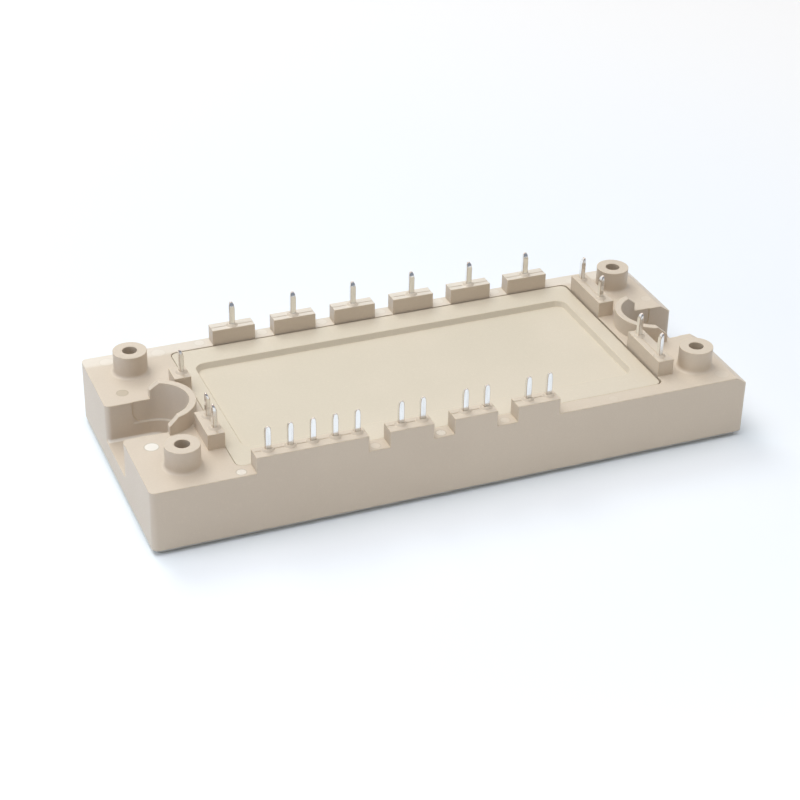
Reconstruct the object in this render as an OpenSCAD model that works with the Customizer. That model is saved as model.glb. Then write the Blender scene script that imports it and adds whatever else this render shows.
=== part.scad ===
// Pin-type power module: a moulded frame with a snap-in lid on a nickel-plated
// baseplate, with the soldered substrates, chips and bond wires inside.
// X runs along the module, Y across it, Z up from the heat sink face.

/* [Body] */
// Length of the moulded frame
body_length = 107.5; // [105:0.5:112]
// Width of the moulded frame
body_width = 45; // [44:0.5:49]
// Height of the rails and end decks above the heat sink face
deck_height = 12; // [11.4:0.2:13]
// Height of the frame's lower edge above the heat sink face
skirt_height = 1; // [0.6:0.1:1.6]
// Radius of the frame's upright corners
corner_radius = 1; // [0.4:0.2:2]
// Length of the chamfer along the top of the right-hand end
chamfer_run = 2.3; // [1:0.1:3]
// Drop of that chamfer
chamfer_drop = 1.6; // [0.8:0.1:2.4]

/* [Screw posts] */
// Distance from the end of the frame to the board screw posts
post_inset_x = 7.25; // [6:0.25:8]
// Distance from the side of the frame to the board screw posts
post_inset_y = 6.5; // [5:0.25:7]
// Diameter of a post
post_diameter = 5.9; // [5:0.1:6.4]
// Height of a post above the deck
post_height = 4; // [3:0.2:5]
// Diameter of the blind screw hole in a post
post_hole_diameter = 2.6; // [1.8:0.1:3]
// Depth of that hole
post_hole_depth = 9; // [6:0.5:10]
// Radius of the fillet at the foot of a post
post_fillet = 0.6; // [0.2:0.1:0.9]

/* [Mounting wells] */
// Distance from the end of the frame to the mounting screw
mount_inset = 7.25; // [6.5:0.25:8]
// Diameter of the mounting holes
mount_hole_diameter = 5.5; // [4.5:0.1:6.5]
// Radius of the well round a mounting screw
well_radius = 5.5; // [5:0.1:5.8]
// Height of the well floor above the heat sink face
well_floor = 5.1; // [4.4:0.1:6]
// Width of the channel that opens a well to the end of the frame
channel_width = 11; // [9:0.2:12]
// Radius of the rounded corners at the channel mouth
mouth_radius = 0.9; // [0.3:0.1:1.2]
// Radius of the fillet at the foot of the well and channel walls
well_fillet = 0.4; // [0.1:0.1:0.6]
// Depth of the recess in the well walls beside the screw head
recess_depth = 0.15; // [0.1:0.05:0.3]
// Height of the ledge under that recess above the heat sink face
recess_floor = 7.9; // [7:0.1:9]
// Distance from the screw to the outer end of the recess
recess_reach = 2.6; // [2.2:0.1:4]
// Radius of its lower corners
recess_radius = 2; // [0.5:0.1:2]
// Wall of the horseshoe collar
collar_wall = 1.3; // [1:0.1:1.8]
// Height of the collar above the deck
collar_height = 3; // [2:0.1:3.6]
// Length of the slope at each end of the collar
collar_slope_run = 1.7; // [1:0.1:2.5]
// Drop of that slope
collar_slope_drop = 1.4; // [0.6:0.1:1.8]
// Strip of deck between the collar and the lid opening
collar_gap = 1.1; // [1:0.1:2]

/* [Terminal pins] */
// Pin raster
raster = 3.81; // [3.75:0.01:3.85]
// Width of a pin along its row
pin_width = 1; // [0.8:0.05:1.3]
// Thickness of a pin
pin_thickness = 0.75; // [0.6:0.05:1]
// Height of the pin tips above the deck
pin_height = 7.4; // [6:0.1:8.5]
// Length of the tapered tip
tip_length = 1; // [0.5:0.1:1.5]
// Width left at the very tip
tip_width = 0.5; // [0.3:0.05:0.8]
// Distance from the lid opening to the pin rows
pin_row_inset = 1.15; // [0.9:0.05:1.4]
// Distance from the left end of the lid opening to the raster line of the first front pin
front_start = 4.31; // [4:0.1:5]
// Sideways offset of the front pins from their raster lines
front_row_shift = 0.54; // [-0.6:0.02:0.6]
// Distance from the left end of the lid opening to the first back pin
back_start = 11.93; // [8:0.1:14]
// Least distance from the last back pin to the right end of the lid opening
back_end = 8; // [6:0.1:8]
// Distance from a corner of the lid opening to the first pin of the right end
right_start = 4.26; // [4:0.1:6]
// Fit between a pin and its moulded slot, per side
pin_fit = 0.02; // [0.01:0.01:0.05]
// Thickness of the foot that a pin has inside
foot_thickness = 0.8; // [0.5:0.1:1]

/* [Terminal blocks] */
// Height of the blocks above the deck
block_height = 2.9; // [2:0.1:3.5]
// Length of block beyond the outer pin of a group
block_margin = 1.95; // [1.7:0.05:2.1]
// Length of the single-pin blocks of the back row
back_block_length = 7.8; // [6:0.1:9]
// Depth of the blocks of the back row
back_block_depth = 2.6; // [2.4:0.1:2.7]
// Depth of the blocks at both ends
end_block_depth = 2.9; // [2.5:0.1:3]
// Diameter of the moulded collar round a pin
pin_collar_diameter = 2.2; // [1.8:0.1:2.2]
// Diameter of that collar at its top
pin_collar_top = 1.4; // [1.2:0.1:1.8]
// Height of that collar
pin_collar_height = 0.4; // [0.1:0.05:0.5]
// Width of the groove along a block top
groove_width = 0.16; // [0.1:0.02:0.4]
// Depth of that groove
groove_depth = 0.07; // [0.05:0.01:0.3]

/* [Lid] */
// Width of the rails beside the lid opening
side_rail = 3; // [2.8:0.1:3.4]
// Mean gap at the ends of the lid
lid_gap_x = 0.25; // [0.2:0.01:0.35]
// Mean gap along the sides of the lid
lid_gap_y = 0.15; // [0.14:0.01:0.3]
// How far the lid sits off centre along the module
lid_shift_x = -0.17; // [-0.17:0.01:0.17]
// How far the lid sits off centre across the module
lid_shift_y = -0.13; // [-0.13:0.01:0.13]
// Thickness of the lid at its rim
lid_thickness = 2.2; // [1.8:0.1:2.6]
// Corner radius of the lid
lid_corner_radius = 1.2; // [0.6:0.1:2]
// Width of the lid rim beside the tray at the ends
lid_rim_x = 2.7; // [2:0.1:4]
// Width of the lid rim along the long sides
lid_rim_y = 5; // [4:0.1:6]
// Depth of the tray in the lid
tray_depth = 1; // [0.4:0.1:1.2]
// Run of the sloped tray wall
tray_slope = 0.5; // [0.2:0.1:0.8]
// Corner radius of the tray
tray_corner_radius = 2; // [1:0.2:3]
// Wall of the skirt under the lid
lid_skirt_wall = 1.2; // [0.8:0.1:1.6]
// Depth of that skirt
lid_skirt_depth = 1.5; // [0.8:0.1:1.8]
// Clearance between the skirt and the frame
lid_skirt_clearance = 0.15; // [0.1:0.05:0.3]

/* [Base] */
// Thickness of the baseplate
base_thickness = 3; // [2.5:0.1:3.4]
// Distance from the frame's outside to the baseplate's edge
base_inset = 0.8; // [0.6:0.1:1.2]
// Clearance between the baseplate and the frame's lip
base_clearance = 0.1; // [0.05:0.05:0.2]
// Thickness of the adhesive bead
bead_thickness = 0.2; // [0.1:0.05:0.3]
// Width of the adhesive bead
bead_width = 2; // [1.2:0.1:2.6]
// Strip of bare baseplate between the window and the bead
bead_inset = 0.3; // [0.1:0.1:0.6]

/* [Inside] */
// Width of the ledge that carries the lid
lid_ledge = 1.7; // [1.4:0.1:2]
// Width of the shelf that carries the pin feet
shelf_width = 2; // [1.6:0.1:2.4]
// Distance from the shelf's edge to the pin feet
foot_setback = 0.4; // [0.2:0.1:0.6]
// Height of that shelf above the heat sink face
shelf_height = 5; // [4.6:0.1:5.6]
// Clearance between the ceramic substrates and the frame
substrate_clearance = 0.8; // [0.5:0.1:1.2]
// Gap between the two substrates
substrate_gap = 0.8; // [0.5:0.1:1.5]
// Thickness of the copper on the substrates
copper_thickness = 0.3; // [0.2:0.05:0.4]
// Thickness of the ceramic
ceramic_thickness = 0.4; // [0.3:0.05:0.7]
// Bare ceramic round the copper
copper_margin = 0.8; // [0.5:0.1:1.2]
// Gap between two copper tracks
track_gap = 0.8; // [0.5:0.1:1.2]
// Width of the negative bus track
bus_width = 2.2; // [1.8:0.1:2.6]
// Width of the upper tracks
upper_track_width = 10.4; // [10.1:0.1:11]
// Thickness of the silicon chips
chip_thickness = 0.25; // [0.15:0.05:0.4]
// Side of a transistor chip
igbt_side = 4.8; // [4:0.1:5.2]
// Side of a rectifier diode chip
rectifier_side = 4.6; // [3.5:0.1:5]
// Side of a freewheeling diode chip
diode_side = 3.4; // [3:0.1:3.8]
// Length of the thermistor
thermistor_length = 3.2; // [2.4:0.1:3.6]
// Width of the thermistor
thermistor_width = 1.6; // [1:0.1:2]
// Height of the thermistor
thermistor_height = 0.8; // [0.5:0.1:1.2]
// Thickness of a bond wire
wire_thickness = 0.3; // [0.2:0.05:0.4]
// Height of a bond wire's arch
wire_arch = 1.2; // [0.8:0.1:1.5]
// Distance from the lid's skirt down to the silicone gel
gel_gap = 0.5; // [0.3:0.1:1]

/* [Hidden] */
$fn = 64;
eps = 0.01;

moulding_colour = [0.72, 0.63, 0.5];
lid_colour = [0.77, 0.69, 0.56];
tin_colour = [0.82, 0.82, 0.8];

// main lines of the frame
half_length = body_length / 2;
half_width = body_width / 2;
well_x = half_length - mount_inset;
collar_radius = well_radius + collar_wall;
post_x = half_length - post_inset_x;
post_y = half_width - post_inset_y;
open_x = well_x - collar_radius - collar_gap;
open_y = half_width - side_rail;
cavity_x = open_x - lid_ledge;
cavity_y = open_y - lid_ledge;
window_x = cavity_x - shelf_width;
window_y = cavity_y - shelf_width;
lid_seat = deck_height - lid_thickness;
well_top = deck_height + collar_height + 1;
collar_setback = 0.5;
row_y = open_y + pin_row_inset;
row_x = open_x + pin_row_inset;

// stack on the baseplate
ceramic_z = base_thickness + copper_thickness;
track_z = ceramic_z + ceramic_thickness;
chip_z = track_z + copper_thickness;
chip_top = chip_z + chip_thickness;
foot_top = shelf_height + foot_thickness;
foot_end_y = window_y + foot_setback;
foot_end_x = window_x + foot_setback;
// wires: flat stitch at each end, half the distance between two of a pair,
// and how far in from an edge they land
stitch = 0.6;
wire_pair = 1;
foot_landing = 0.9;
edge_landing = 0.6;
bus_landing = 0.5;
chip_landing = 0.7;
wire_room = 0.05;
gel_top = lid_seat - lid_skirt_depth - gel_gap;

// pin groups, each as the raster lines of its first and last pin;
// the back pins stand as many raster steps apart as there is room for
front_groups = [[0, 4], [6, 7], [9, 10], [12, 13]];
left_groups = [[-3, -2], [2, 2]];
back_count = 6;
back_pitch = raster * floor((2 * open_x - back_start - back_end) / raster / (back_count - 1));
right_outer = open_y - right_start;
right_inner = right_outer - 2 * raster;

function front_x(step) = -open_x + front_start + step * raster;
function back_x(i) = -open_x + back_start + i * back_pitch;

// blocks of each side, as the places of their outer pins
front_blocks = [for (g = front_groups) [front_x(g[0]), front_x(g[1])]];
back_blocks = [for (i = [0:back_count - 1]) [back_x(i), back_x(i)]];
left_blocks = [for (g = left_groups) [g[0] * raster, g[1] * raster]];
right_blocks = [[-right_outer, -right_inner], [right_inner, right_outer]];

// each pin: where it stands and how far its foot is turned
PINS = concat(
  [for (g = front_groups, step = [g[0]:g[1]]) [front_x(step) + front_row_shift, -row_y, 0]],
  [for (y = [-right_outer, -right_inner, right_inner, right_outer]) [row_x, y, 90]],
  [for (i = [back_count - 1:-1:0]) [back_x(i), row_y, 180]],
  [for (step = [2, -2, -3]) [-row_x, step * raster, 270]]);

// ---------- helpers ----------

module rounded_plate(length, width, height, radius) {
  linear_extrude(height)
    for (turn = [0, 1])
      square([length - (turn ? 0 : 2 * radius), width - (turn ? 2 * radius : 0)], center = true);
  for (x = [-1, 1], y = [-1, 1])
    translate([x * (length / 2 - radius), y * (width / 2 - radius), 0])
      cylinder(r = radius, h = height);
}

module block(x0, x1, y0, y1, z0, z1) {
  translate([x0, y0, z0]) cube([x1 - x0, y1 - y0, z1 - z0]);
}

function clamp(value, low, high) = min(max(value, low), high);

// the same at the right-hand end and, mirrored, at the left-hand end
module both_ends() {
  children();
  mirror([1, 0, 0]) children();
}

// fillet at the foot of a round wall, standing on the plane through the origin
module round_fillet(radius, size) {
  translate([0, 0, -eps])
    rotate_extrude()
      difference() {
        square([radius + size, size + eps]);
        translate([radius + size, size + eps]) circle(r = size);
      }
}

// fillet at the foot of a straight wall that runs along X, with the space at positive Y
module straight_fillet(length, size) {
  rotate([90, 0, 90])
    linear_extrude(length)
      difference() {
        translate([-eps, -eps]) square(size + eps);
        translate([size, size]) circle(r = size);
      }
}

// ---------- frame ----------

module end_chamfer() {
  translate([half_length, half_width + 1, deck_height])
    rotate([90, 0, 0])
      linear_extrude(body_width + 2)
        polygon([[-chamfer_run, 0], [0, -chamfer_drop], [1, -chamfer_drop], [1, 1], [-chamfer_run, 1]]);
}

module post(x, y) {
  translate([x, y, deck_height - eps]) cylinder(d = post_diameter, h = post_height + eps);
  translate([x, y, deck_height]) round_fillet(post_diameter / 2, post_fillet);
}

// the horseshoe collar round a mounting well, open towards the end
module well_collar() {
  translate([well_x, 0, deck_height - eps])
    intersection() {
      cylinder(r = collar_radius, h = collar_height + eps);
      rotate([90, 0, 0])
        linear_extrude(4 * collar_radius, center = true)
          polygon([
            [-collar_radius - 1, 0],
            [-collar_setback, 0],
            [-collar_setback, collar_height - collar_slope_drop + eps],
            [-collar_setback - collar_slope_run, collar_height + eps],
            [-collar_radius - 1, collar_height + eps]]);
    }
}

// room for a screw, its washer and its head
module well_cut() {
  translate([well_x, 0, 0]) {
    cylinder(d = mount_hole_diameter, h = well_top);
    well_space();
    head_recess();
  }
}

// the well and its channel to the end, with filleted feet and rounded mouth corners
module well_space() {
  mouth_x = mount_inset - mouth_radius;
  mouth_y = channel_width / 2 + mouth_radius;
  difference() {
    translate([0, 0, well_floor]) {
      cylinder(r = well_radius, h = well_top);
      translate([0, -channel_width / 2, 0]) cube([mount_inset + 1, channel_width, well_top]);
      translate([mouth_x, -mouth_y, 0]) cube([mouth_radius + 1, 2 * mouth_y, well_top]);
    }
    for (turn = [0, 1])
      mirror([0, turn, 0]) {
        translate([mouth_x, mouth_y, 0]) cylinder(r = mouth_radius, h = well_floor + well_top + 1);
        translate([mouth_x, mouth_y, well_floor]) round_fillet(mouth_radius, well_fillet);
        translate([0, -channel_width / 2, well_floor]) straight_fillet(mouth_x, well_fillet);
      }
    intersection() {
      translate([0, 0, well_floor])
        rotate_extrude()
          difference() {
            translate([well_radius - well_fillet, -eps]) square([well_fillet + 1, well_fillet + eps]);
            translate([well_radius - well_fillet, well_fillet]) circle(r = well_fillet);
          }
      translate([-2 * well_radius, -2 * well_radius, 0]) cube([2 * well_radius, 4 * well_radius, well_top]);
    }
  }
}

// shallow recess in the walls beside the screw head, with rounded lower corners
module head_recess() {
  half = channel_width / 2 + recess_depth;
  corner = recess_reach - recess_radius;
  intersection() {
    union() {
      cylinder(r = well_radius + recess_depth, h = well_top);
      translate([0, -half, 0]) cube([recess_reach, 2 * half, well_top]);
    }
    rotate([90, 0, 0])
      linear_extrude(4 * well_radius, center = true) {
        translate([-2 * well_radius, recess_floor]) square([2 * well_radius + corner, well_top]);
        translate([0, recess_floor + recess_radius]) square([recess_reach, well_top]);
        translate([corner, recess_floor + recess_radius]) circle(r = recess_radius);
      }
  }
}

back_margin = back_block_length / 2;

module terminal_blocks() {
  z0 = deck_height - eps;
  z1 = deck_height + block_height;
  for (b = front_blocks) block(b[0] - block_margin, b[1] + block_margin, -half_width, -open_y, z0, z1);
  for (b = back_blocks) block(b[0] - back_margin, b[1] + back_margin, open_y, open_y + back_block_depth, z0, z1);
  for (b = left_blocks) block(-open_x - end_block_depth, -open_x, b[0] - block_margin, b[1] + block_margin, z0, z1);
  for (b = right_blocks) block(open_x, open_x + end_block_depth, b[0] - block_margin, b[1] + block_margin, z0, z1);
  for (p = PINS)
    translate([p[0], p[1], z1 - eps])
      cylinder(d1 = pin_collar_diameter, d2 = pin_collar_top, h = pin_collar_height + eps, $fn = 32);
}

// grooves along the block tops, on the line of the pins
module block_grooves() {
  z0 = deck_height + block_height - groove_depth;
  z1 = deck_height + block_height + 1;
  g = groove_width / 2;
  difference() {
    union() {
      for (b = front_blocks) block(b[0] - block_margin - 1, b[1] + block_margin + 1, -row_y - g, -row_y + g, z0, z1);
      for (b = back_blocks) block(b[0] - back_margin - 1, b[1] + back_margin + 1, row_y - g, row_y + g, z0, z1);
      for (b = left_blocks) block(-row_x - g, -row_x + g, b[0] - block_margin - 1, b[1] + block_margin + 1, z0, z1);
      for (b = right_blocks) block(row_x - g, row_x + g, b[0] - block_margin - 1, b[1] + block_margin + 1, z0, z1);
    }
    for (p = PINS)
      translate([p[0], p[1], z0 - 1]) cylinder(d = pin_collar_diameter, h = groove_depth + 3, $fn = 32);
  }
}

// the slot that holds one pin and its foot
module pin_slot(p) {
  reach = p[2] % 180 == 0 ? row_y - cavity_y : row_x - cavity_x;
  w = pin_width + 2 * pin_fit;
  t = pin_thickness + 2 * pin_fit;
  translate([p[0], p[1], 0])
    rotate([0, 0, p[2]]) {
      translate([-w / 2, -t / 2, shelf_height]) cube([w, t, deck_height + block_height + 2 - shelf_height]);
      translate([-w / 2, -t / 2, shelf_height]) cube([w, reach + t / 2 + eps, foot_thickness + pin_fit]);
    }
}

module frame() {
  lip_x = body_length - 2 * base_inset + 2 * base_clearance;
  lip_y = body_width - 2 * base_inset + 2 * base_clearance;
  color(moulding_colour)
    difference() {
      union() {
        translate([0, 0, skirt_height])
          rounded_plate(body_length, body_width, deck_height - skirt_height, corner_radius);
        for (x = [-1, 1], y = [-1, 1]) post(x * post_x, y * post_y);
        both_ends() well_collar();
        terminal_blocks();
      }
      end_chamfer();
      both_ends() well_cut();
      for (x = [-1, 1], y = [-1, 1])
        translate([x * post_x, y * post_y, deck_height + post_height - post_hole_depth])
          cylinder(d = post_hole_diameter, h = post_hole_depth + 1);
      // seat of the baseplate and groove of the adhesive
      translate([0, 0, -1]) rounded_plate(lip_x, lip_y, base_thickness + 1, corner_radius);
      bead();
      // opening for the lid, cavity and window
      translate([0, 0, lid_seat]) rounded_plate(2 * open_x, 2 * open_y, lid_thickness + eps, lid_corner_radius);
      block(-cavity_x, cavity_x, -cavity_y, cavity_y, shelf_height, deck_height);
      block(-window_x, window_x, -window_y, window_y, -1, deck_height);
      for (p = PINS) pin_slot(p);
      block_grooves();
    }
}

// ---------- lid ----------

module lid() {
  length = 2 * (open_x - lid_gap_x);
  width = 2 * (open_y - lid_gap_y);
  tray_x = length - 2 * lid_rim_x;
  tray_y = width - 2 * lid_rim_y;
  skirt_x = cavity_x - lid_skirt_clearance - abs(lid_shift_x);
  skirt_y = cavity_y - lid_skirt_clearance - abs(lid_shift_y);
  color(lid_colour)
    translate([lid_shift_x, lid_shift_y, 0]) {
      difference() {
        translate([0, 0, lid_seat]) rounded_plate(length, width, lid_thickness, lid_corner_radius);
        hull() {
          translate([0, 0, deck_height - tray_depth])
            rounded_plate(tray_x - 2 * tray_slope, tray_y - 2 * tray_slope, eps, tray_corner_radius - tray_slope, $fn = 32);
          translate([0, 0, deck_height])
            rounded_plate(tray_x, tray_y, eps, tray_corner_radius, $fn = 32);
        }
      }
      difference() {
        block(-skirt_x, skirt_x, -skirt_y, skirt_y, lid_seat - lid_skirt_depth, lid_seat + eps);
        block(-skirt_x + lid_skirt_wall, skirt_x - lid_skirt_wall, -skirt_y + lid_skirt_wall, skirt_y - lid_skirt_wall,
          lid_seat - lid_skirt_depth - 1, lid_seat);
      }
    }
}

// ---------- base ----------

module baseplate() {
  color([0.78, 0.77, 0.74])
    difference() {
      rounded_plate(body_length - 2 * base_inset, body_width - 2 * base_inset, base_thickness, corner_radius);
      for (x = [-1, 1])
        translate([x * well_x, 0, -1]) cylinder(d = mount_hole_diameter, h = base_thickness + 2);
    }
}

module bead() {
  inner_x = window_x + bead_inset;
  inner_y = window_y + bead_inset;
  difference() {
    block(-inner_x - bead_width, inner_x + bead_width, -inner_y - bead_width, inner_y + bead_width,
      base_thickness, base_thickness + bead_thickness);
    block(-inner_x, inner_x, -inner_y, inner_y, base_thickness - 1, base_thickness + bead_thickness + 1);
  }
}

module adhesive_bead() {
  color([0.25, 0.25, 0.27]) bead();
}

// ---------- substrates ----------

substrate_length = window_x - substrate_clearance - substrate_gap / 2;
substrate_width = 2 * (window_y - substrate_clearance);
substrate_x = (substrate_length + substrate_gap) / 2;
copper_x = substrate_length / 2 - copper_margin;
copper_y = substrate_width / 2 - copper_margin;
// columns of tracks: four on the left substrate, three on the right
left_column = (2 * copper_x - 3 * track_gap) / 4;
right_column = (2 * copper_x - 2 * track_gap) / 3;
low_y0 = -copper_y + bus_width + track_gap;
high_y0 = copper_y - upper_track_width;
low_y1 = high_y0 - track_gap;
bus_y = -copper_y + bus_width / 2;
high_y = (high_y0 + copper_y) / 2;

function left_column_x(i) = -substrate_x - copper_x + left_column / 2 + i * (left_column + track_gap);
function right_column_x(i) = substrate_x - copper_x + right_column / 2 + i * (right_column + track_gap);

module ceramic(side) {
  color([0.93, 0.93, 0.9])
    translate([side * substrate_x - substrate_length / 2, -substrate_width / 2, ceramic_z])
      cube([substrate_length, substrate_width, ceramic_thickness]);
}

module backing(side) {
  color([0.8, 0.5, 0.35])
    translate([side * substrate_x - copper_x, -copper_y, base_thickness])
      cube([2 * copper_x, 2 * copper_y, copper_thickness]);
}

module substrate_left() { ceramic(-1); }
module substrate_right() { ceramic(1); }
module substrate_backing_left() { backing(-1); }
module substrate_backing_right() { backing(1); }

module substrate_tracks_left() {
  c = left_column / 2;
  pad = (left_column - track_gap) / 2;
  color([0.8, 0.5, 0.35]) {
    for (i = [0:3])
      block(left_column_x(i) - c, left_column_x(i) + c, low_y0, low_y1, track_z, chip_z);
    block(left_column_x(0) - c, left_column_x(2) + c, high_y0, copper_y, track_z, chip_z);
    block(left_column_x(3) - c, left_column_x(3) - c + pad, high_y0, copper_y, track_z, chip_z);
    block(left_column_x(3) + c - pad, left_column_x(3) + c, high_y0, copper_y, track_z, chip_z);
    block(left_column_x(0) - c, left_column_x(3) + c, -copper_y, -copper_y + bus_width, track_z, chip_z);
  }
}

module substrate_tracks_right() {
  c = right_column / 2;
  color([0.8, 0.5, 0.35]) {
    for (i = [0:2])
      block(right_column_x(i) - c, right_column_x(i) + c, low_y0, low_y1, track_z, chip_z);
    block(right_column_x(0) - c, right_column_x(2) + c, high_y0, copper_y, track_z, chip_z);
    block(right_column_x(0) - c, right_column_x(2) + c, -copper_y, -copper_y + bus_width, track_z, chip_z);
  }
}

// ---------- chips ----------

chip_spacing = 0.4;
pair_offset = (igbt_side + diode_side) / 2 + chip_spacing;
low_igbt_y = low_y1 - igbt_side / 2 - 2 * edge_landing;
low_diode_y = low_igbt_y - pair_offset;
low_rectifier_y = (low_y0 + low_y1) / 2;
high_igbt_y = copper_y - igbt_side / 2 - 2 * edge_landing;
high_diode_y = high_igbt_y - pair_offset;

RECTIFIERS = [for (y = [high_y, low_rectifier_y], i = [0:2]) [left_column_x(i), y]];
TRANSISTORS = [for (y = [high_igbt_y, low_igbt_y], i = [0:2]) [right_column_x(i), y]];
DIODES = [for (y = [high_diode_y, low_diode_y], i = [0:2]) [right_column_x(i), y]];
BRAKE_TRANSISTOR = [left_column_x(3), low_igbt_y];
BRAKE_DIODE = [left_column_x(3), low_diode_y];

module chip(at, side) {
  color([0.35, 0.36, 0.4])
    translate([at[0] - side / 2, at[1] - side / 2, chip_z]) cube([side, side, chip_thickness]);
}

module rectifier_diode_1() { chip(RECTIFIERS[0], rectifier_side); }
module rectifier_diode_2() { chip(RECTIFIERS[1], rectifier_side); }
module rectifier_diode_3() { chip(RECTIFIERS[2], rectifier_side); }
module rectifier_diode_4() { chip(RECTIFIERS[3], rectifier_side); }
module rectifier_diode_5() { chip(RECTIFIERS[4], rectifier_side); }
module rectifier_diode_6() { chip(RECTIFIERS[5], rectifier_side); }
module brake_transistor() { chip(BRAKE_TRANSISTOR, igbt_side); }
module brake_diode() { chip(BRAKE_DIODE, diode_side); }
module inverter_transistor_1() { chip(TRANSISTORS[0], igbt_side); }
module inverter_transistor_2() { chip(TRANSISTORS[1], igbt_side); }
module inverter_transistor_3() { chip(TRANSISTORS[2], igbt_side); }
module inverter_transistor_4() { chip(TRANSISTORS[3], igbt_side); }
module inverter_transistor_5() { chip(TRANSISTORS[4], igbt_side); }
module inverter_transistor_6() { chip(TRANSISTORS[5], igbt_side); }
module freewheel_diode_1() { chip(DIODES[0], diode_side); }
module freewheel_diode_2() { chip(DIODES[1], diode_side); }
module freewheel_diode_3() { chip(DIODES[2], diode_side); }
module freewheel_diode_4() { chip(DIODES[3], diode_side); }
module freewheel_diode_5() { chip(DIODES[4], diode_side); }
module freewheel_diode_6() { chip(DIODES[5], diode_side); }

// the thermistor bridges the two small upper tracks
module thermistor() {
  color([0.2, 0.2, 0.22])
    translate([left_column_x(3) - thermistor_length / 2, high_y - thermistor_width / 2, chip_z])
      cube([thermistor_length, thermistor_width, thermistor_height]);
}

// ---------- bond wires ----------

// outline of an arched wire from [0, 0] to [run, rise], with a flat stitch at each end
function arch(run, rise, h, n = 6) = [for (i = [0:n]) let (u = i / n) [stitch + u * (run - 2 * stitch), u * rise + 4 * h * u * (1 - u)]];
function wire_outline(run, rise, h, t) =
  let (a = arch(run, rise, h))
  concat([[0, 0]], a, [[run, rise], [run, rise + t]], [for (i = [len(a) - 1:-1:0]) [a[i][0], a[i][1] + t]], [[0, t]]);

module wire(from, to) {
  dx = to[0] - from[0];
  dy = to[1] - from[1];
  translate([from[0], from[1], from[2]])
    rotate([0, 0, atan2(dy, dx)])
      rotate([90, 0, 0])
        linear_extrude(wire_thickness, center = true)
          polygon(wire_outline(sqrt(dx * dx + dy * dy), to[2] - from[2], wire_arch, wire_thickness));
}

// where a wire starts on the inner end of a pin's foot
function foot_point(p) =
  p[2] == 0 ? [p[0], -foot_end_y - foot_landing, foot_top] :
  p[2] == 180 ? [p[0], foot_end_y + foot_landing, foot_top] :
  p[2] == 90 ? [foot_end_x + foot_landing, p[1], foot_top] : [-foot_end_x - foot_landing, p[1], foot_top];
// where it lands on the copper, beside the chips
land_x = substrate_x + copper_x - edge_landing;
land_inner_x = substrate_x - copper_x + edge_landing;
function on_copper_x(x) = x < 0 ? clamp(x, -land_x, -land_inner_x) : clamp(x, land_inner_x, land_x);
function on_copper_y(y) =
  y > high_y ? copper_y - edge_landing :
  y > 0 ? high_y0 + edge_landing :
  y < low_y0 ? bus_y : max(y, low_y0 + edge_landing);
function landing(p) =
  p[2] == 0 ? [on_copper_x(p[0]), bus_y - bus_landing, chip_z] :
  p[2] == 180 ? [on_copper_x(p[0]), copper_y - edge_landing, chip_z] :
  p[2] == 90 ? [land_x, on_copper_y(p[1]), chip_z] : [-land_x, on_copper_y(p[1]), chip_z];
// wires from one chip to the track or chip in front of it
function chip_to_track(at, y, dx) = [[at[0] + dx, at[1] - chip_landing, chip_top], [at[0] + dx, y, chip_z]];
function chip_to_chip(at, to, dx) = [[at[0] + dx, at[1] - chip_landing, chip_top], [to[0] + dx, to[1] + chip_landing, chip_top]];

PIN_WIRES = [for (p = PINS) [foot_point(p), landing(p)]];
CHIP_WIRES = [for (dx = [-wire_pair, wire_pair]) each concat(
  [for (i = [0:2]) chip_to_track(RECTIFIERS[i], low_y1 - edge_landing, dx)],
  [for (i = [3:5]) chip_to_track(RECTIFIERS[i], bus_y + bus_landing, dx)],
  [for (i = [0:5]) chip_to_chip(TRANSISTORS[i], DIODES[i], dx)],
  [for (i = [0:2]) chip_to_track(DIODES[i], low_y1 - edge_landing, dx)],
  [for (i = [3:5]) chip_to_track(DIODES[i], bus_y + bus_landing, dx)],
  [chip_to_chip(BRAKE_TRANSISTOR, BRAKE_DIODE, dx), chip_to_track(BRAKE_DIODE, bus_y + bus_landing, dx)])];
WIRES = concat(PIN_WIRES, CHIP_WIRES);

module bond_wires() {
  color([0.85, 0.85, 0.86]) for (w = WIRES) wire(w[0], w[1]);
}

// room that the gel leaves for one wire
module wire_space(w) {
  dx = w[1][0] - w[0][0];
  dy = w[1][1] - w[0][1];
  run = sqrt(dx * dx + dy * dy);
  room = wire_thickness + 2 * wire_room;
  translate([w[0][0], w[0][1], 0])
    rotate([0, 0, atan2(dy, dx)])
      block(-wire_room, run + wire_room, -room / 2, room / 2, chip_z - eps, max(w[0][2], w[1][2]) + wire_arch + wire_thickness + wire_room);
}

// ---------- gel ----------

module silicone_gel() {
  color([0.8, 0.85, 0.88, 0.6])
    difference() {
      union() {
        block(-window_x, window_x, -window_y, window_y, base_thickness, gel_top);
        block(-cavity_x, cavity_x, -cavity_y, cavity_y, shelf_height, gel_top);
      }
      for (side = [-1, 1])
        translate([side * substrate_x - substrate_length / 2, -substrate_width / 2, base_thickness - 1])
          cube([substrate_length, substrate_width, chip_z - base_thickness + 1]);
      for (at = RECTIFIERS) chip_room(at, rectifier_side);
      for (at = concat(TRANSISTORS, [BRAKE_TRANSISTOR])) chip_room(at, igbt_side);
      for (at = concat(DIODES, [BRAKE_DIODE])) chip_room(at, diode_side);
      translate([left_column_x(3) - thermistor_length / 2, high_y - thermistor_width / 2, chip_z - 1])
        cube([thermistor_length, thermistor_width, thermistor_height + 1]);
      for (p = PINS) foot_room(p);
      for (w = WIRES) wire_space(w);
    }
}

module chip_room(at, side) {
  translate([at[0] - side / 2, at[1] - side / 2, chip_z - 1]) cube([side, side, chip_thickness + 1]);
}

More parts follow.
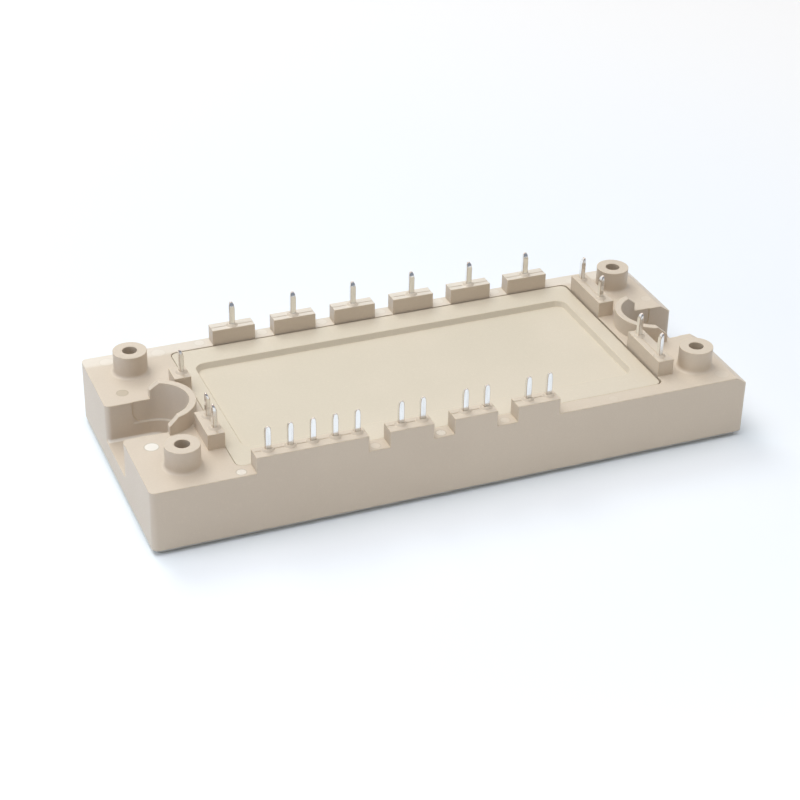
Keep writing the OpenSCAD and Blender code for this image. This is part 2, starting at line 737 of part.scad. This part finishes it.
module foot_room(p) {
  reach = p[2] % 180 == 0 ? row_y - foot_end_y : row_x - foot_end_x;
  translate([p[0], p[1], shelf_height - 1])
    rotate([0, 0, p[2]])
      translate([-pin_width / 2, 0, 0]) cube([pin_width, reach, foot_thickness + 1]);
}

// ---------- pins ----------

// a flat pin with a tapered tip, bent at its lower end into a foot that lies on the shelf
module pin(i) {
  p = PINS[i];
  reach = p[2] % 180 == 0 ? row_y - foot_end_y : row_x - foot_end_x;
  top = deck_height + pin_height;
  w = pin_width / 2;
  t = pin_thickness / 2;
  k = tip_width / 2;
  m = min(k, t * 0.7);
  color(tin_colour)
    translate([p[0], p[1], 0])
      rotate([0, 0, p[2]]) {
        intersection() {
          rotate([90, 0, 0])
            linear_extrude(pin_thickness + 1, center = true)
              polygon([[-w, shelf_height], [w, shelf_height], [w, top - tip_length], [k, top], [-k, top], [-w, top - tip_length]]);
          rotate([90, 0, 90])
            linear_extrude(pin_width + 1, center = true)
              polygon([[-t, shelf_height], [t, shelf_height], [t, top - tip_length], [m, top], [-m, top], [-t, top - tip_length]]);
        }
        translate([-w, 0, shelf_height]) cube([pin_width, reach, foot_thickness]);
      }
}

module pin_01() { pin(0); }
module pin_02() { pin(1); }
module pin_03() { pin(2); }
module pin_04() { pin(3); }
module pin_05() { pin(4); }
module pin_06() { pin(5); }
module pin_07() { pin(6); }
module pin_08() { pin(7); }
module pin_09() { pin(8); }
module pin_10() { pin(9); }
module pin_11() { pin(10); }
module pin_12() { pin(11); }
module pin_13() { pin(12); }
module pin_14() { pin(13); }
module pin_15() { pin(14); }
module pin_16() { pin(15); }
module pin_17() { pin(16); }
module pin_18() { pin(17); }
module pin_19() { pin(18); }
module pin_20() { pin(19); }
module pin_21() { pin(20); }
module pin_22() { pin(21); }
module pin_23() { pin(22); }
module pin_24() { pin(23); }

frame();
lid();
baseplate();
adhesive_bead();
substrate_left();
substrate_right();
substrate_backing_left();
substrate_backing_right();
substrate_tracks_left();
substrate_tracks_right();
rectifier_diode_1();
rectifier_diode_2();
rectifier_diode_3();
rectifier_diode_4();
rectifier_diode_5();
rectifier_diode_6();
brake_transistor();
brake_diode();
inverter_transistor_1();
inverter_transistor_2();
inverter_transistor_3();
inverter_transistor_4();
inverter_transistor_5();
inverter_transistor_6();
freewheel_diode_1();
freewheel_diode_2();
freewheel_diode_3();
freewheel_diode_4();
freewheel_diode_5();
freewheel_diode_6();
thermistor();
bond_wires();
silicone_gel();
pin_01();
pin_02();
pin_03();
pin_04();
pin_05();
pin_06();
pin_07();
pin_08();
pin_09();
pin_10();
pin_11();
pin_12();
pin_13();
pin_14();
pin_15();
pin_16();
pin_17();
pin_18();
pin_19();
pin_20();
pin_21();
pin_22();
pin_23();
pin_24();
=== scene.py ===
import math
import bpy
from mathutils import Matrix, Vector


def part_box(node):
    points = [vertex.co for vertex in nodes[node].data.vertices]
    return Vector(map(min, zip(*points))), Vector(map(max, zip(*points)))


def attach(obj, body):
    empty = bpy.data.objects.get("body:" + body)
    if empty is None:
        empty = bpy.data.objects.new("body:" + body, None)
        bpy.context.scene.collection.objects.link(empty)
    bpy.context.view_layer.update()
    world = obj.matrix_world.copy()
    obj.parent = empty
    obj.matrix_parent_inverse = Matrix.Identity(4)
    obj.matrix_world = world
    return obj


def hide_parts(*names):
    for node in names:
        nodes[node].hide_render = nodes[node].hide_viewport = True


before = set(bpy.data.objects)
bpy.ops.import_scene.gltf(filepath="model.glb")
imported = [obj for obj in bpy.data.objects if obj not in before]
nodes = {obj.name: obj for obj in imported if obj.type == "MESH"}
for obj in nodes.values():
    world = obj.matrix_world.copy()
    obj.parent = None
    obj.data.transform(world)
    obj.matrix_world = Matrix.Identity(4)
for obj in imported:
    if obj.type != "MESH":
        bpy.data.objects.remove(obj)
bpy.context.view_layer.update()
mm = 0.001


print("frame loaded,", len(nodes), "nodes")

scene = bpy.context.scene
scene.view_settings.view_transform = "Standard"

cameraView = {
    "azimuth": -22.383,
    "elevation": 31.039,
    "roll": -1.22,
    "distance": 378.271 * mm,
    "target": (8.546 * mm, 27.082 * mm, -11.59 * mm),
    "lens": 88.26,
    "sensor": 36,
}


def makeCamera(view):
    azimuth, elevation, roll = (math.radians(view[key]) for key in ("azimuth", "elevation", "roll"))
    level = math.cos(elevation)
    back = Vector((math.sin(azimuth) * level, -math.cos(azimuth) * level, math.sin(elevation)))
    side = Vector((0, 0, 1)).cross(back).normalized()
    up = back.cross(side)
    right = side * math.cos(roll) - up * math.sin(roll)
    up = up * math.cos(roll) + side * math.sin(roll)
    data = bpy.data.cameras.new("viewCamera")
    data.lens = view["lens"]
    data.sensor_width = view["sensor"]
    camera = bpy.data.objects.new("viewCamera", data)
    scene.collection.objects.link(camera)
    turn = Matrix((right, up, back)).transposed().to_4x4()
    place = Vector(view["target"]) + back * view["distance"]
    camera.matrix_world = Matrix.Translation(place) @ turn
    scene.camera = camera


makeCamera(cameraView)
print("camera")


def setSlot(tree, slot, value):
    if isinstance(value, Wire):
        tree.links.new(value.socket, slot)
    elif value is not None:
        slot.default_value = value


class Wire:
    # a node's output that Python's operators can be used on
    def __init__(self, tree, socket):
        self.tree = tree
        self.socket = socket

    def maths(self, operation, first, second=None):
        node = self.tree.nodes.new("ShaderNodeMath")
        node.operation = operation
        for slot, value in zip(node.inputs, (first, second)):
            setSlot(self.tree, slot, value)
        return Wire(self.tree, node.outputs[0])

    def __add__(self, other):
        return self.maths("ADD", self, other)

    def __sub__(self, other):
        return self.maths("SUBTRACT", self, other)

    def __rsub__(self, other):
        return self.maths("SUBTRACT", other, self)

    def __mul__(self, other):
        return self.maths("MULTIPLY", self, other)

    def __truediv__(self, other):
        return self.maths("DIVIDE", self, other)

    def larger(self, other):
        return self.maths("MAXIMUM", self, other)

    def size(self):
        return self.maths("ABSOLUTE", self)


class Graph:
    # a node tree and the calls that fill it
    def __init__(self, tree):
        self.tree = tree

    def node(self, kind, settings=None, out=0, **values):
        made = self.tree.nodes.new(kind)
        for key, value in (settings or {}).items():
            setattr(made, key, value)
        for key, value in values.items():
            setSlot(self.tree, self.findSlot(made, key), value)
        return Wire(self.tree, made.outputs[out])

    def findSlot(self, made, key):
        wanted = key.replace("_", " ")
        return [s for s in made.inputs if s.name.lower() == wanted and s.enabled][0]

    def ramp(self, value, low, high, start=0, end=1):
        return self.node("ShaderNodeMapRange", {"interpolation_type": "SMOOTHSTEP"},
                         value=value, from_min=low, from_max=high, to_min=start, to_max=end)

    def blend(self, share, first, second):
        made = self.tree.nodes.new("ShaderNodeMix")
        made.data_type = "RGBA"
        # a colour mix keeps its factor in slot 0 and its colours in slots 6 and 7
        setSlot(self.tree, made.inputs[0], share)
        for slot, tone in ((made.inputs[6], first), (made.inputs[7], second)):
            setSlot(self.tree, slot, tone if isinstance(tone, Wire) else (*tone, 1))
        return Wire(self.tree, made.outputs[2])

    def vector(self, operation, first, second, out=0):
        made = self.tree.nodes.new("ShaderNodeVectorMath")
        made.operation = operation
        for slot, value in zip(made.inputs, (first, second)):
            setSlot(self.tree, slot, value)
        return Wire(self.tree, made.outputs[out])


class Finish(Graph):
    # one material
    def __init__(self, name, fixed):
        self.material = bpy.data.materials.new(name)
        self.material.use_nodes = True
        super().__init__(self.material.node_tree)
        self.shader = self.tree.nodes["Principled BSDF"]
        for socket, value in fixed.items():
            self.shader.inputs[socket].default_value = value
        self.place = self.node("ShaderNodeTexCoord", out="Object")

    def noise(self, scale, detail=2, roughness=0.5, stretch=(1, 1, 1)):
        spot = self.node("ShaderNodeMapping", vector=self.place, scale=stretch)
        return self.node("ShaderNodeTexNoise", vector=spot, scale=scale / mm,
                         detail=detail, roughness=roughness)

    def axis(self, name):
        return self.node("ShaderNodeSeparateXYZ", out=name, vector=self.place)

    def trueNormal(self):
        return self.node("ShaderNodeNewGeometry", out="True Normal")

    def facing(self, name):
        return self.node("ShaderNodeSeparateXYZ", out=name, vector=self.trueNormal())

    def softNormal(self, rounding):
        return self.node("ShaderNodeBevel", {"samples": 6}, radius=rounding * mm)

    def edges(self, soft, flat=0.995, sharp=0.85):
        # 1 along the edges, where the softened normal leaves the true one;
        # flat and sharp are cosines of the angle between the two
        agreement = self.vector("DOT_PRODUCT", soft, self.trueNormal(), out="Value")
        return self.ramp(agreement, flat, sharp)

    def feed(self, socket, value):
        self.tree.links.new(value.socket, self.shader.inputs[socket])

    def relief(self, height, depth, soft):
        # height in 0..1 becomes a bump of that depth, over softened edges
        self.feed("Normal", self.node("ShaderNodeBump", height=height, distance=depth * mm,
                                      strength=1.0, normal=soft))


def scaled(tone, share):
    return tuple(min(1, part * share) for part in tone)


def dress(names, finish):
    for name in names:
        node = nodes[name]
        node.data.materials.clear()
        node.data.materials.append(finish.material)


# scales are per mm, rounding, bumpDepth, deckTop and the rail's limits in mm
mouldedLook = {
    "frameTone": (0.650, 0.553, 0.446),
    "frameShade": (0.610, 0.514, 0.412),
    "lidTone": (0.674, 0.592, 0.476),
    "lidShade": (0.640, 0.566, 0.450),
    "edgeHighlightTone": (0.86, 0.70, 0.50),
    "paintedHighlightTone": (0.96, 0.93, 0.87),
    "darkReflectionAndRimTone": (0.38, 0.31, 0.21),
    "roughness": 0.46,
    "roughnessSpread": 0.06,
    "markRoughness": 0.16,
    "rounding": 0.22,
    "bumpDepth": 0.03,
    "cloudScale": 0.03,
    "grainScale": 3.2,
    "fleckScale": 1.4,
    "cloudHeight": 0.2,
    "grainHeight": 0.3,
    "markDepth": 0.5,
    "grainShare": 0.10,
    "fleckShare": 0.08,
    "edgeHighlightShare": 0.65,
    "markReflectionShare": 0.6,
    "rimShare": 0.45,
    "wellHighlightShare": 0.45,
    "railLightShare": 0.3,
    "railFrom": 18.8,
    "railTo": 20.2,
    "deckTop": 12,
}

# ejector marks on the deck, in mm: x, y, radius, and how strong the reflection painted on them is
# (less than 0: a painted dark reflection)
ejectorMarks = [
    (-49.7, 20.2, 1.25, 0.22), (49.7, 20.2, 1.25, 0.12), (49.7, -20.2, 1.25, 0.1),
    (-40.4, 20.3, 1.25, 0.18), (40.4, 20.3, 1.25, 0.1),
    (-49.8, 9.1, 1.0, -0.5), (-49.8, -9.1, 1.2, 1.0),
    (50.3, 9.2, 1.0, 0.12), (50.3, -9.1, 1.0, 0.1),
    (-38.4, -21.2, 0.85, 0.7), (-15.5, -21.2, 0.85, 0.25), (-3.9, -21.2, 0.85, 0.5),
    (7.7, -21.2, 0.85, 0.2), (28, -21.2, 0.85, 0.08),
    (-32.6, 21.3, 0.95, 0.3), (-20.9, 21.3, 0.95, 0.3), (-9.5, 21.3, 0.95, 0.3),
    (1.9, 21.3, 0.95, 0.25), (13.4, 21.3, 0.95, 0.25), (24.8, 21.3, 0.95, 0.25),
]


def ejectorRings(finish, marks, top, blur=0.06, rimCore=0.04, rimWidth=0.16):
    # where the marks are glossier and carry a painted light reflection, where they carry a painted
    # dark reflection, and where their rims run
    flat = finish.vector("MULTIPLY", finish.place, (1 / mm, 1 / mm, 0))
    onTop = finish.ramp((finish.axis("Z") / mm - top).size(), 0.05, 0.2, 1, 0)
    bright, darkening, rim = None, None, None
    for x, y, radius, paintedLight in marks:
        away = finish.vector("DISTANCE", flat, (x, y, 0), out="Value") - radius
        ring = finish.ramp(away.size(), rimCore, rimWidth, min(1, 2 * abs(paintedLight)), 0)
        rim = ring if rim is None else rim.larger(ring)
        share = finish.ramp(away, blur, -blur, 0, abs(paintedLight))
        if paintedLight > 0:
            bright = share if bright is None else bright.larger(share)
        else:
            darkening = share if darkening is None else darkening.larger(share)
    return bright * onTop, darkening * onTop, rim * onTop


# painted highlights in the wells, at the foot of the straight walls and along the ledge, in mm:
# wall is a distance from the long middle line, floor and ledge are heights,
# and inner, ledgeEnd and outer are distances from the short middle line
wellHighlights = {
    "wall": 5.5,
    "floor": 5.1,
    "ledge": 7.9,
    "inner": 42.0,
    "ledgeEnd": 49.3,
    "outer": 53.6,
    "footLift": 0.15,
    "footReach": 0.35,
    "footStart": 4.9,
    "ledgeReach": 0.3,
    "ledgeShare": 0.7,
}


def wellHighlightLines(finish, well):
    # the bare lengths are the widths over which each limit fades
    along = finish.axis("X").size() / mm
    across = finish.axis("Y").size() / mm
    height = finish.axis("Z") / mm
    foot = finish.ramp((height - well["floor"] - well["footLift"]).size(), well["footReach"], 0.1)
    foot = foot * finish.ramp(across, well["footStart"], well["footStart"] + 0.3)
    ledge = finish.ramp((height - well["ledge"]).size(), well["ledgeReach"], 0.1)
    ledge = ledge * well["ledgeShare"]
    ledge = ledge * finish.ramp(along, well["ledgeEnd"], well["ledgeEnd"] - 0.6)
    inside = finish.ramp(across, well["wall"] + 0.35, well["wall"] + 0.25)
    inside = inside * finish.ramp(along, well["inner"], well["inner"] + 0.5)
    return foot.larger(ledge) * inside * finish.ramp(along, well["outer"], well["outer"] - 0.1)


def mouldedFinish(name, tone, shade, look, marks=None):
    finish = Finish(name, {"IOR": 1.5, "Specular IOR Level": 0.5})
    soft = finish.softNormal(look["rounding"])
    cloud = finish.ramp(finish.noise(look["cloudScale"], detail=3), 0.35, 0.65)
    grain = finish.noise(look["grainScale"], detail=2, roughness=0.7)
    fleck = finish.ramp(finish.noise(look["fleckScale"], detail=1), 0.62, 0.75)
    colour = finish.blend(cloud, shade, tone)
    speckle = finish.ramp(grain, 0.3, 0.7)
    colour = finish.blend(speckle * look["grainShare"], colour, scaled(shade, 0.8))
    colour = finish.blend(fleck * look["fleckShare"], colour, scaled(tone, 1.2))
    # a painted highlight along every edge, paler and warmer than the plastic
    colour = finish.blend(finish.edges(soft) * look["edgeHighlightShare"], colour, look["edgeHighlightTone"])
    rough = finish.ramp(grain, 0.3, 0.7, look["roughness"] - look["roughnessSpread"],
                        look["roughness"] + look["roughnessSpread"])
    height = grain * look["grainHeight"] + cloud * look["cloudHeight"]
    if marks:
        bright, darkening, rim = ejectorRings(finish, marks, look["deckTop"])
        # painted reflections on the ejector marks, light and dark, then their dark rims
        colour = finish.blend(bright * look["markReflectionShare"], colour, look["paintedHighlightTone"])
        colour = finish.blend(darkening, colour, look["darkReflectionAndRimTone"])
        colour = finish.blend(rim * look["rimShare"], colour, look["darkReflectionAndRimTone"])
        # painted highlights along the wells' wall foot and ledge
        paintedLight = wellHighlightLines(finish, wellHighlights)
        colour = finish.blend(paintedLight * look["wellHighlightShare"], colour, look["paintedHighlightTone"])
        # painted light: the tops along the back rail are painted paler
        rail = finish.ramp(finish.axis("Y") / mm, look["railFrom"], look["railTo"])
        rail = rail * finish.ramp(finish.facing("Z"), 0.6, 0.9)
        colour = finish.blend(rail * look["railLightShare"], colour, look["paintedHighlightTone"])
        rough = rough + bright * (look["markRoughness"] - look["roughness"])
        height = height - (bright + darkening) * look["markDepth"] - rim * look["markDepth"]
    finish.feed("Base Color", colour)
    finish.feed("Roughness", rough)
    finish.relief(height, look["bumpDepth"], soft)
    return finish


dress(["frame"], mouldedFinish("frameMoulding", mouldedLook["frameTone"],
                               mouldedLook["frameShade"], mouldedLook, marks=ejectorMarks))
dress(["lid"], mouldedFinish("lidMoulding", mouldedLook["lidTone"],
                             mouldedLook["lidShade"], mouldedLook))
print("moulded plastic")


def metalFinish(name, tone, roughness, scale, stretch, rounding):
    finish = Finish(name, {"Metallic": 1.0})
    streak = finish.noise(scale, detail=3, stretch=stretch)
    darkening = finish.ramp(streak, 0.35, 0.7)
    finish.feed("Base Color", finish.blend(darkening * 0.5, tone, scaled(tone, 0.82)))
    finish.feed("Roughness", finish.ramp(streak, 0.3, 0.7, roughness - 0.06, roughness + 0.1))
    finish.relief(streak, 0.01, finish.softNormal(rounding))
    return finish


def insideFinish(name, tone, roughness, metallic):
    finish = Finish(name, {"Metallic": metallic, "Roughness": roughness})
    cloud = finish.ramp(finish.noise(0.6, detail=2), 0.3, 0.7)
    finish.feed("Base Color", finish.blend(cloud * 0.3, tone, scaled(tone, 0.8)))
    return finish


# scales are per mm, roundings in mm, and a stretch below 1 draws the streaks out that way
pinTin = {"tone": (0.88, 0.88, 0.87), "roughness": 0.15, "scale": 0.9,
          "stretch": (2.5, 2.5, 0.35), "rounding": 0.05}
# the pins' bevelled edges are painted darker and brownish, a painted reflection of the plastic
# around them
pinEdgeReflection = {"tone": (0.56, 0.46, 0.39), "roughness": 0.26, "scale": 1.4,
           "stretch": (2.5, 2.5, 0.35), "rounding": 0.05}
plateNickel = {"tone": (0.74, 0.72, 0.68), "roughness": 0.34, "scale": 0.9,
               "stretch": (0.06, 1, 1), "rounding": 0.12}

tinned = metalFinish("tinnedPin", **pinTin)
paintedEdgeReflection = metalFinish("paintedEdgeReflection", **pinEdgeReflection)
dress(["baseplate"], metalFinish("nickelPlating", **plateNickel))

# material: how its nodes' names start, tone, roughness and metallic
insideLooks = {
    "bareCopper": (("substrate_tracks", "substrate_backing"), (0.80, 0.45, 0.28), 0.35, 1.0),
    "aluminaCeramic": (("substrate_left", "substrate_right"), (0.88, 0.88, 0.85), 0.5, 0.0),
    "siliconChip": (("brake_", "freewheel_", "inverter_", "rectifier_"),
                    (0.16, 0.17, 0.20), 0.2, 0.0),
    "thermistorBody": ("thermistor", (0.08, 0.08, 0.09), 0.5, 0.0),
    "aluminiumWire": ("bond_wires", (0.85, 0.85, 0.86), 0.35, 1.0),
    "sealantBead": ("adhesive_bead", (0.10, 0.10, 0.11), 0.5, 0.0),
    "clearGel": ("silicone_gel", (0.75, 0.80, 0.84), 0.15, 0.0),
}
for name, (starts, tone, roughness, metallic) in insideLooks.items():
    dress([n for n in nodes if n.startswith(starts)],
          insideFinish(name, tone, roughness, metallic))
print("metals and inside")

# lengths in mm; a share is what is left of the blade's width and thickness
pinShape = {
    "thickness": 0.75,
    "footThickness": 0.8,
    "tipLength": 1.1,
    "shoulder": 0.40,
    "tipShare": (0.45, 0.36),
    "shoulderShare": (0.86, 0.68),
    "edge": 0.08,
    "edgeSteps": 3,
    "edgeAngle": 35,
    "smoothAngle": 40,
}
levelTolerance = 0.01 * mm


def bisectAt(height):
    bpy.ops.mesh.select_all(action="SELECT")
    bpy.ops.mesh.bisect(plane_co=(0, 0, height), plane_no=(0, 0, 1))


def pickFaces(piece, wanted):
    bpy.ops.mesh.select_mode(type="FACE")
    bpy.ops.mesh.select_all(action="DESELECT")
    bpy.ops.object.mode_set(mode="OBJECT")
    for face in piece.data.polygons:
        face.select = wanted(face)
    bpy.ops.object.mode_set(mode="EDIT")


def pickLevel(piece, height):
    bpy.ops.mesh.select_mode(type="VERT")
    bpy.ops.mesh.select_all(action="DESELECT")
    bpy.ops.object.mode_set(mode="OBJECT")
    for point in piece.data.vertices:
        point.select = abs(point.co.z - height) < levelTolerance
    bpy.ops.object.mode_set(mode="EDIT")


def makePin(width, bottom, top, reach, shape):
    # blade on the Z axis, foot and tip slope towards positive Y
    thick = shape["thickness"] * mm
    tip = top - shape["tipLength"] * mm
    shoulder = top - shape["shoulder"] * mm
    foot = bottom + shape["footThickness"] * mm
    bpy.ops.object.select_all(action="DESELECT")
    bpy.ops.mesh.primitive_cube_add(size=1, location=(0, 0, 0))
    piece = bpy.context.active_object
    middle = Matrix.Translation((0, 0, (bottom + top) / 2))
    piece.data.transform(middle @ Matrix.Diagonal((width, thick, top - bottom, 1)))
    for finish in (tinned, paintedEdgeReflection):
        piece.data.materials.append(finish.material)
    bpy.ops.object.mode_set(mode="EDIT")
    for height in (foot, tip, shoulder):
        bisectAt(height)
    for height, share in ((shoulder, shape["shoulderShare"]), (top, shape["tipShare"])):
        pickLevel(piece, height)
        bpy.ops.transform.resize(value=(*share, 1), center_override=(0, -thick / 2, height))
    pickFaces(piece, lambda face: face.normal.y > 0.9 and face.center.z < foot)
    bpy.ops.mesh.extrude_region_move(TRANSFORM_OT_translate={"value": (0, reach, 0)})
    bpy.ops.object.mode_set(mode="OBJECT")
    bevel = piece.modifiers.new("edge", "BEVEL")
    bevel.width = shape["edge"] * mm
    bevel.segments = shape["edgeSteps"]
    bevel.limit_method = "ANGLE"
    bevel.angle_limit = math.radians(shape["edgeAngle"])
    # the bevels take the painted edge reflection
    bevel.material = 1  # paintedEdgeReflection
    bpy.ops.object.modifier_apply(modifier="edge")
    bpy.ops.object.shade_smooth_by_angle(angle=math.radians(shape["smoothAngle"]))
    piece.modifiers.new("flats", "WEIGHTED_NORMAL")
    bpy.ops.object.modifier_apply(modifier="flats")
    return piece


def setPins():
    names = sorted(n for n in nodes if n.startswith("pin_"))
    thick = pinShape["thickness"] * mm
    first = None
    for name in names:
        low, high = (Vector(c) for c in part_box(name))
        middle, span = (low + high) / 2, high - low
        if first is None:
            first = makePin(span.x, low.z, high.z, span.y - thick, pinShape)
            pattern = first.data.copy()
        # turned so that the foot points inwards
        if span.y > span.x and middle.y < 0:
            turn, spot = 0, (middle.x, low.y + thick / 2)
        elif span.y > span.x:
            turn, spot = 180, (middle.x, high.y - thick / 2)
        elif middle.x > 0:
            turn, spot = 90, (high.x - thick / 2, middle.y)
        else:
            turn, spot = 270, (low.x + thick / 2, middle.y)
        mesh = pattern.copy()
        turned = Matrix.Rotation(math.radians(turn), 4, "Z")
        mesh.transform(Matrix.Translation((*spot, 0)) @ turned)
        piece = bpy.data.objects.new("terminal" + name[4:], mesh)
        scene.collection.objects.link(piece)
        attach(piece, "root")
        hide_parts(name)
    bpy.data.objects.remove(first)


setPins()
print("terminal pins")

studio = {
    "floorRoughness": 0.8,
    "floorTone": (0.875, 0.898, 0.940),
    "nearShadowTint": (0.900, 0.950, 1.0),
    "nearReach": 9 * mm,
    "farTone": (0.985, 0.957, 0.950),
    "farStart": 60 * mm,
    "farEnd": 260 * mm,
    "floorSize": 4.0,
    "floorDrop": 0.02 * mm,
    "openingMargin": 0.6 * mm,
    "openingBlur": 0.1 * mm,
    "skyTone": (0.66, 0.84, 1.0),
    "skyStrength": 0.2,
    "darkTone": (0.26, 0.29, 0.34),
    "darkFront": (-0.2, -0.6),
    "darkRise": (0.0, 0.12),
}

# name, place and size in metres, power, tone, and whether glosses show it
lamps = [
    ("overLamp", (0, 0, 1.0), 1.5, 2.5, (0.99, 1.0, 1.01), True),
    ("highLamp", (-0.22, 0.05, 0.6), 0.5, 1.7, (1.0, 1.0, 0.97), True),
    ("frontLamp", (0.05, -0.35, 0.95), 0.9, 1.7, (0.99, 1.0, 1.02), True),
    ("backLamp", (-0.15, 0.65, 0.75), 0.5, 3.0, (1.0, 1.0, 0.96), True),
    ("rightLamp", (0.6, 0, 0.5), 0.5, 0.7, (1.0, 0.95, 0.95), True),
    ("leftLamp", (-0.19, -0.01, 0.07), 0.1, 0.05, (0.90, 0.98, 1.18), False),
    ("lowLamp", (0, -0.2, 0.05), 0.12, 0.06, (1.0, 0.95, 0.86), False),
]


def makeFloor():
    # open under the baseplate, so that its underside can be seen from below
    bpy.ops.object.select_all(action="DESELECT")
    bpy.ops.mesh.primitive_plane_add(size=studio["floorSize"],
                                     location=(0, 0, -studio["floorDrop"]))
    floor = bpy.context.active_object
    floor.name = "studioFloor"
    finish = Finish("paleFloor", {"Roughness": studio["floorRoughness"]})
    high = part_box("baseplate")[1]
    # how far a point of the floor lies outside the baseplate
    beside = (finish.axis("X").size() - high[0]).larger(finish.axis("Y").size() - high[1])
    away = finish.vector("DISTANCE", finish.place, (0, 0, 0), out="Value")
    # a painted bluish shadow tint on the floor close to the baseplate
    shadowTintShare = finish.ramp(beside, 0, studio["nearReach"])
    far = finish.ramp(away, studio["farStart"], studio["farEnd"])
    tone = finish.blend(shadowTintShare, studio["nearShadowTint"], studio["floorTone"])
    finish.feed("Base Color", finish.blend(far, tone, studio["farTone"]))
    margin = -studio["openingMargin"]
    inside = finish.ramp(beside, margin, margin - studio["openingBlur"])
    mixed = finish.node("ShaderNodeMixShader", fac=inside)
    shaders = mixed.socket.node.inputs
    setSlot(finish.tree, shaders[1], Wire(finish.tree, finish.shader.outputs[0]))
    setSlot(finish.tree, shaders[2], finish.node("ShaderNodeBsdfTransparent"))
    setSlot(finish.tree, finish.tree.nodes["Material Output"].inputs["Surface"], mixed)
    floor.data.materials.append(finish.material)


def makeWorld():
    # white where the camera or a gloss looks, dim and bluish as a light;
    # in front, above the horizon, it is darker except to the camera itself
    world = bpy.data.worlds.new("studioWorld")
    scene.world = world
    world.use_nodes = True
    graph = Graph(world.node_tree)
    background = graph.tree.nodes["Background"]
    way = graph.node("ShaderNodeTexCoord", out="Generated")
    forwards = graph.node("ShaderNodeSeparateXYZ", out="Y", vector=way)
    upwards = graph.node("ShaderNodeSeparateXYZ", out="Z", vector=way)
    front = graph.ramp(forwards, *studio["darkFront"])
    high = graph.ramp(upwards, *studio["darkRise"])
    path = graph.tree.nodes.new("ShaderNodeLightPath")
    camera, glossy, through = (Wire(graph.tree, path.outputs["Is " + ray + " Ray"])
                               for ray in ("Camera", "Glossy", "Transmission"))
    seen = camera.larger(glossy).larger(through)
    colour = graph.blend(seen, studio["skyTone"], (1.0, 1.0, 1.0))
    colour = graph.blend(front * high * (1 - camera), colour, studio["darkTone"])
    setSlot(graph.tree, background.inputs["Color"], colour)
    setSlot(graph.tree, background.inputs["Strength"],
            graph.ramp(seen, 0, 1, studio["skyStrength"], 1.0))


def makeLamp(name, place, size, power, tone, inGloss):
    data = bpy.data.lights.new(name, "AREA")
    data.shape = "DISK"
    data.size = size
    data.energy = power
    data.color = tone
    lamp = bpy.data.objects.new(name, data)
    lamp.location = place
    lamp.visible_glossy = inGloss
    lamp.rotation_euler = (-Vector(place)).to_track_quat("-Z", "Y").to_euler()
    scene.collection.objects.link(lamp)


makeFloor()
makeWorld()
for row in lamps:
    makeLamp(*row)
print("floor and light")
